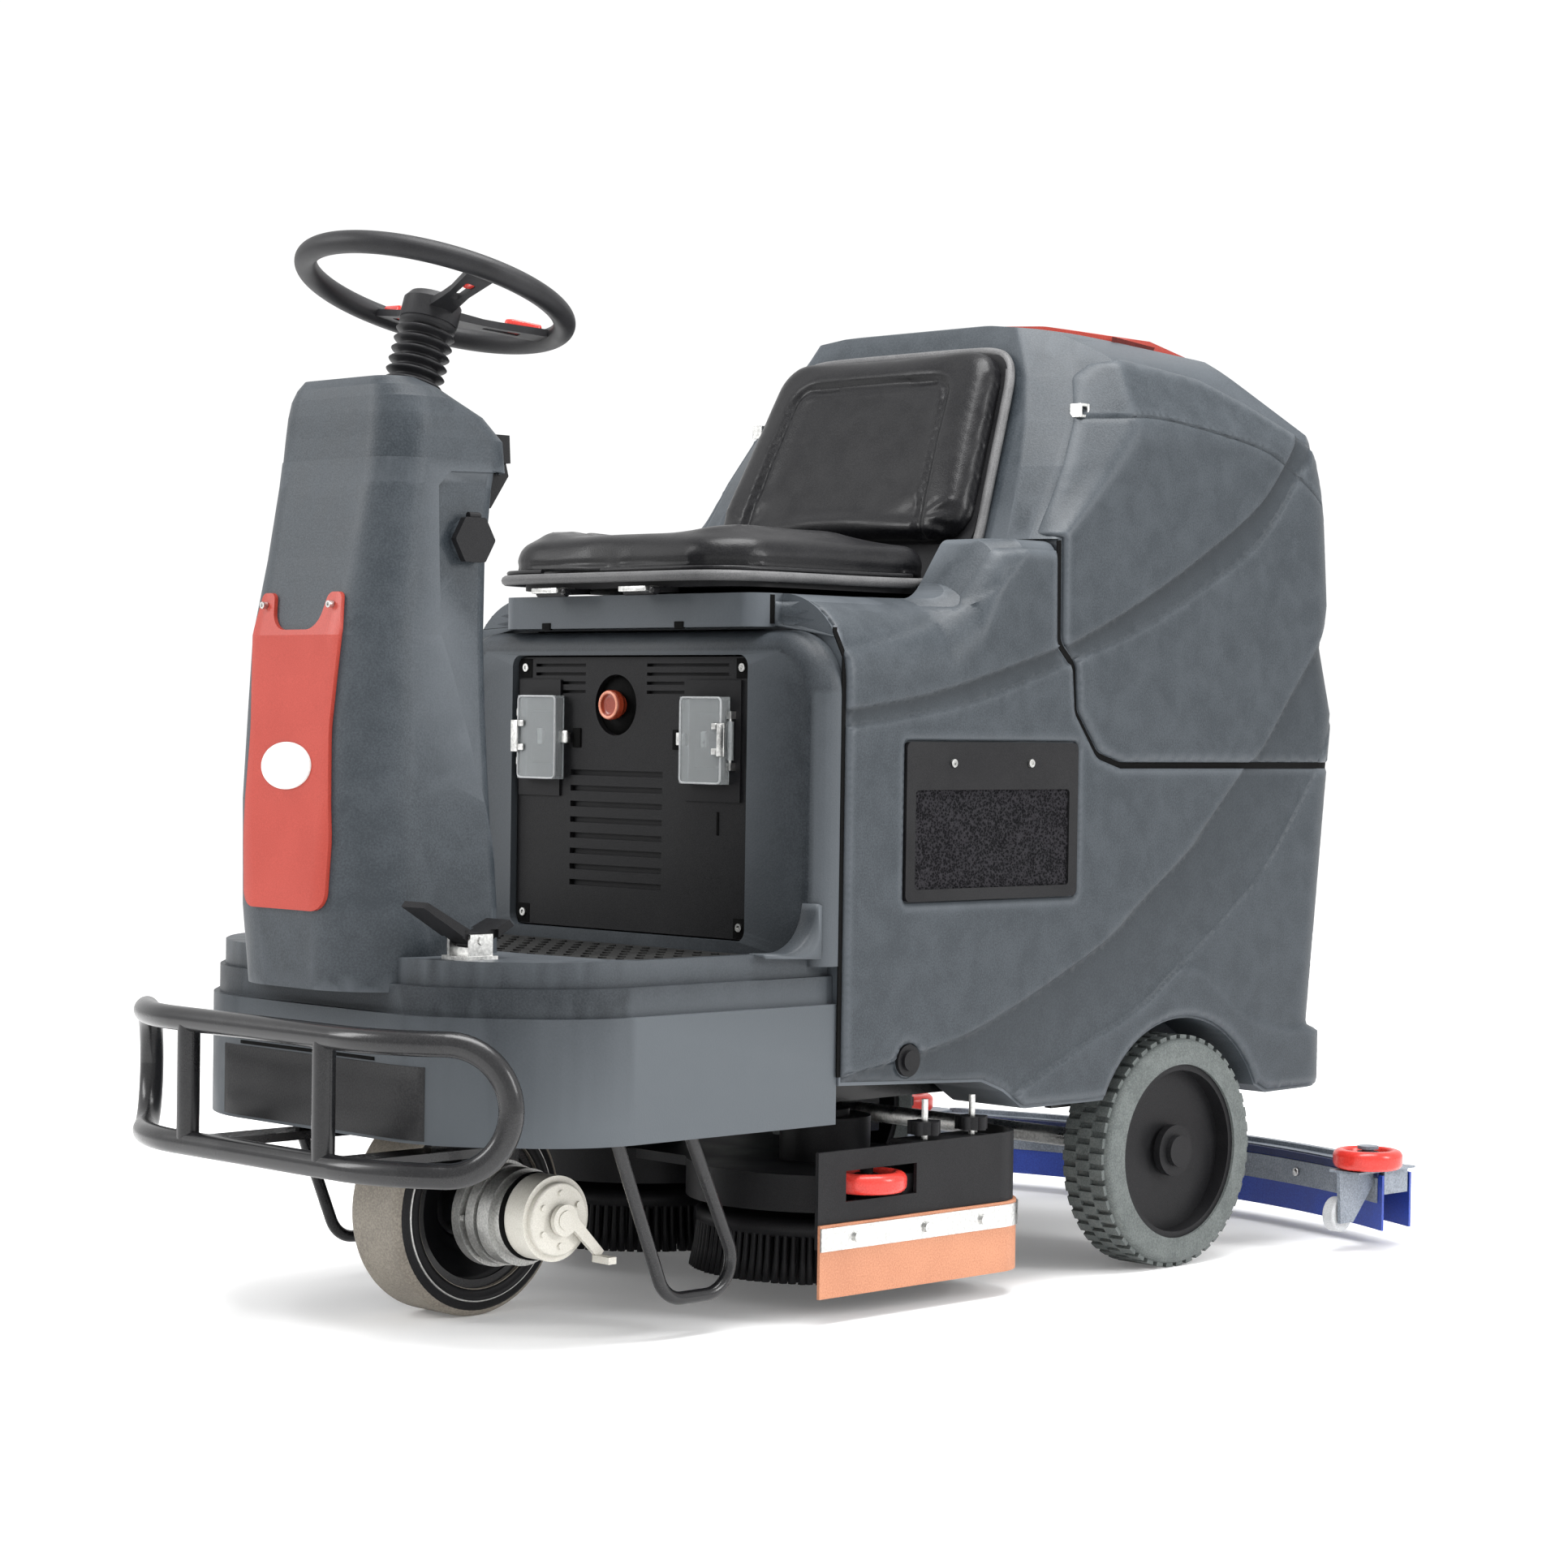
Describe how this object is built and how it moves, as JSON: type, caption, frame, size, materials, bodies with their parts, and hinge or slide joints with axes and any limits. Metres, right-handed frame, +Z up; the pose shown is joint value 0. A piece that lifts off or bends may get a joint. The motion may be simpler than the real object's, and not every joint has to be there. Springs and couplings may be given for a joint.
{
  "type": "ride-on floor scrubber-dryer",
  "caption": "Ride-on floor cleaning machine with steering column, padded seat, recovery tank, lifting brush deck and swinging rear squeegee.",
  "frame": {"origin": "on the floor under the middle of the machine's bounding box", "axes": "+Z up, front of the machine towards -Y, the machine's left side towards +X"},
  "size_m": [0.942, 1.713, 1.2414],
  "materials": {
    "body_moulding": "textured rotomoulded polyethylene",
    "red_panel": "satin coral red moulded plastic",
    "black_plastic": "fine grained black moulding",
    "black_steel": "satin black powder coat",
    "zinc_steel": "bright zinc plate",
    "vinyl": "black upholstery vinyl",
    "tyre_grey": "dark grey block tread",
    "drive_tread": "beige grey polyurethane tread",
    "cast_motor": "cast aluminium",
    "brake_ivory": "ivory moulded cover",
    "clear_plastic": "clear polycarbonate",
    "bristle": "stiff nylon bristle",
    "amber_rubber": "tan orange gum rubber",
    "blue_rubber": "blue polyurethane blade",
    "grey_cast": "grey cast squeegee body",
    "red_roller": "red polyurethane roller",
    "caster_grey": "light grey rubber",
    "mat_rubber": "black studded rubber",
    "button_orange": "orange red push button",
    "battery_case": "black battery case"
  },
  "bodies": {
    "chassis": {"chassis_frame": "black_steel", "bumper_frame": "black_steel", "deck_guards": "black_steel", "rear_axle": "zinc_steel", "front_body": "body_moulding", "solution_tank": "body_moulding", "column_shell": "body_moulding", "column_rear_cover": "body_moulding", "front_fascia": "red_panel", "dash_panel": "black_plastic", "floor_mat": "mat_rubber", "battery_panel": "black_plastic", "batteries": "battery_case", "side_vents": "black_plastic", "bellows": "black_plastic", "metal_fittings": "zinc_steel", "steer_bearing": "zinc_steel", "steering_chain": "zinc_steel"},
    "steering": {"steering_wheel": "black_plastic", "steering_shaft": "black_plastic"},
    "lower_steering": {"lower_shaft": "zinc_steel"},
    "drive_unit": {"drive_fork": "black_steel", "drive_motor": "cast_motor", "brake_cap": "brake_ivory"},
    "brake_release": {"brake_lever": "brake_ivory"},
    "drive_wheel": {"drive_tyre": "drive_tread", "drive_rim": "black_steel"},
    "rear_wheel_left": {"rear_tyre_left": "tyre_grey", "rear_hub_left": "black_plastic"},
    "rear_wheel_right": {"rear_tyre_right": "tyre_grey", "rear_hub_right": "black_plastic"},
    "seat": {"seat_pan": "black_plastic", "seat_cushion": "vinyl", "seat_backrest": "vinyl"},
    "tank": {"recovery_tank": "body_moulding", "vacuum_motor": "black_plastic"},
    "lid": {"recovery_lid": "red_panel"},
    "foot_pedal": {"pedal": "black_plastic"},
    "breaker_window_left": {"window_left": "clear_plastic"},
    "breaker_window_right": {"window_right": "clear_plastic"},
    "stop": {"stop_button": "button_orange"},
    "charger_cap": {"socket_cap": "black_plastic"},
    "key": {"key_switch": "zinc_steel"},
    "deck": {"deck_housing": "black_plastic", "side_skirts": "amber_rubber", "skirt_plates": "black_plastic", "skirt_strips": "zinc_steel", "skirt_knobs": "black_plastic"},
    "left_brush": {"brush_left": "bristle"},
    "right_brush": {"brush_right": "bristle"},
    "deck_roller_left": {"side_roller_left": "red_roller"},
    "deck_roller_right": {"side_roller_right": "red_roller"},
    "squeegee_lift": {"squeegee_arm": "black_steel"},
    "squeegee": {"swing_arm": "black_steel", "squeegee_body": "grey_cast", "squeegee_blades": "blue_rubber"},
    "squeegee_roller_left": {"end_roller_left": "red_roller"},
    "squeegee_roller_right": {"end_roller_right": "red_roller"},
    "squeegee_caster_left": {"caster_left": "caster_grey"},
    "squeegee_caster_right": {"caster_right": "caster_grey"}
  },
  "joints": [
    {"name": "drive_steer", "type": "hinge", "parent": "chassis", "child": "drive_unit", "pos_m": [0, -0.551, 0.3], "axis": [0, 0, 1], "range_deg": [-60, 60]},
    {"name": "steering_wheel_turn", "type": "hinge", "parent": "chassis", "child": "steering", "pos_m": [0, -0.6, 1.185], "axis": [0, 0.284, 0.9588], "range_deg": [-180, 180]},
    {"name": "lower_shaft_turn", "type": "hinge", "parent": "chassis", "child": "lower_steering", "pos_m": [0, -0.655, 0.6], "axis": [0, 0, 1], "range_deg": [-180, 180]},
    {"name": "drive_spin", "type": "hinge", "parent": "drive_unit", "child": "drive_wheel", "pos_m": [0, -0.551, 0.125], "axis": [1, 0, 0], "continuous": true},
    {"name": "brake_release_swing", "type": "hinge", "parent": "drive_unit", "child": "brake_release", "pos_m": [0.191, -0.551, 0.129], "axis": [1, 0, 0], "range_deg": [0, 15], "stiffness_Nm_per_rad": 0.6},
    {"name": "rear_wheel_left_spin", "type": "hinge", "parent": "chassis", "child": "rear_wheel_left", "pos_m": [0.302, 0.371, 0.15], "axis": [1, 0, 0], "continuous": true},
    {"name": "rear_wheel_right_spin", "type": "hinge", "parent": "chassis", "child": "rear_wheel_right", "pos_m": [-0.302, 0.371, 0.15], "axis": [1, 0, 0], "continuous": true},
    {"name": "seat_tilt", "type": "hinge", "parent": "chassis", "child": "seat", "pos_m": [0, -0.328, 0.851], "axis": [1, 0, 0], "range_deg": [0, 60]},
    {"name": "tank_tilt", "type": "hinge", "parent": "chassis", "child": "tank", "pos_m": [0, 0.707, 0.66], "axis": [-1, 0, 0], "range_deg": [0, 45]},
    {"name": "lid_open", "type": "hinge", "parent": "tank", "child": "lid", "pos_m": [0, 0.219, 1.212], "axis": [1, 0, 0], "range_deg": [0, 85]},
    {"name": "pedal_rock", "type": "hinge", "parent": "chassis", "child": "foot_pedal", "pos_m": [0.192, -0.695, 0.452], "axis": [1, 0, 0], "range_deg": [-10, 10], "stiffness_Nm_per_rad": 4},
    {"name": "window_left_open", "type": "hinge", "parent": "chassis", "child": "breaker_window_left", "pos_m": [0.184, -0.294, 0.673], "axis": [0, 0, 1], "range_deg": [0, 100]},
    {"name": "window_right_open", "type": "hinge", "parent": "chassis", "child": "breaker_window_right", "pos_m": [-0.198, -0.294, 0.673], "axis": [0, 0, -1], "range_deg": [0, 100]},
    {"name": "stop_button_press", "type": "slide", "parent": "chassis", "child": "stop", "axis": [0, 1, 0], "range_m": [0, 0.004], "stiffness_N_per_m": 300},
    {"name": "charger_cap_open", "type": "hinge", "parent": "chassis", "child": "charger_cap", "pos_m": [0.1286, -0.645, 0.923], "axis": [0, -1, 0], "range_deg": [0, 110]},
    {"name": "key_turn", "type": "hinge", "parent": "chassis", "child": "key", "pos_m": [0.055, -0.569, 1.004], "axis": [0, 1, 0], "range_deg": [0, 60]},
    {"name": "deck_lift", "type": "slide", "parent": "chassis", "child": "deck", "axis": [0, 0, 1], "range_m": [-0.028, 0]},
    {"name": "brush_left_spin", "type": "hinge", "parent": "deck", "child": "left_brush", "pos_m": [0.166, -0.106, 0.1], "axis": [0, 0, 1], "continuous": true},
    {"name": "brush_right_spin", "type": "hinge", "parent": "deck", "child": "right_brush", "pos_m": [-0.166, -0.106, 0.1], "axis": [0, 0, 1], "continuous": true},
    {"name": "deck_roller_left_spin", "type": "hinge", "parent": "deck", "child": "deck_roller_left", "pos_m": [0.319, -0.191, 0.157], "axis": [0, 0, 1], "continuous": true},
    {"name": "deck_roller_right_spin", "type": "hinge", "parent": "deck", "child": "deck_roller_right", "pos_m": [-0.319, -0.191, 0.157], "axis": [0, 0, 1], "continuous": true},
    {"name": "squeegee_lift_swing", "type": "hinge", "parent": "chassis", "child": "squeegee_lift", "pos_m": [0, 0.591, 0.176], "axis": [1, 0, 0], "range_deg": [-5, 0]},
    {"name": "squeegee_swing", "type": "hinge", "parent": "squeegee_lift", "child": "squeegee", "pos_m": [0, 0.663, 0.158], "axis": [0, 0, 1], "range_deg": [-12, 12]},
    {"name": "squeegee_roller_left_spin", "type": "hinge", "parent": "squeegee", "child": "squeegee_roller_left", "pos_m": [0.425, 0.663, 0.125], "axis": [0, 0, 1], "continuous": true},
    {"name": "squeegee_roller_right_spin", "type": "hinge", "parent": "squeegee", "child": "squeegee_roller_right", "pos_m": [-0.425, 0.663, 0.125], "axis": [0, 0, 1], "continuous": true},
    {"name": "squeegee_caster_left_spin", "type": "hinge", "parent": "squeegee", "child": "squeegee_caster_left", "pos_m": [0.393, 0.641, 0.05], "axis": [1, 0, 0], "continuous": true},
    {"name": "squeegee_caster_right_spin", "type": "hinge", "parent": "squeegee", "child": "squeegee_caster_right", "pos_m": [-0.393, 0.641, 0.05], "axis": [1, 0, 0], "continuous": true}
  ],
  "couplings": [
    {"joint": "steering_wheel_turn", "follows": "drive_steer", "ratio": 3},
    {"joint": "lower_shaft_turn", "follows": "drive_steer", "ratio": 3}
  ]
}
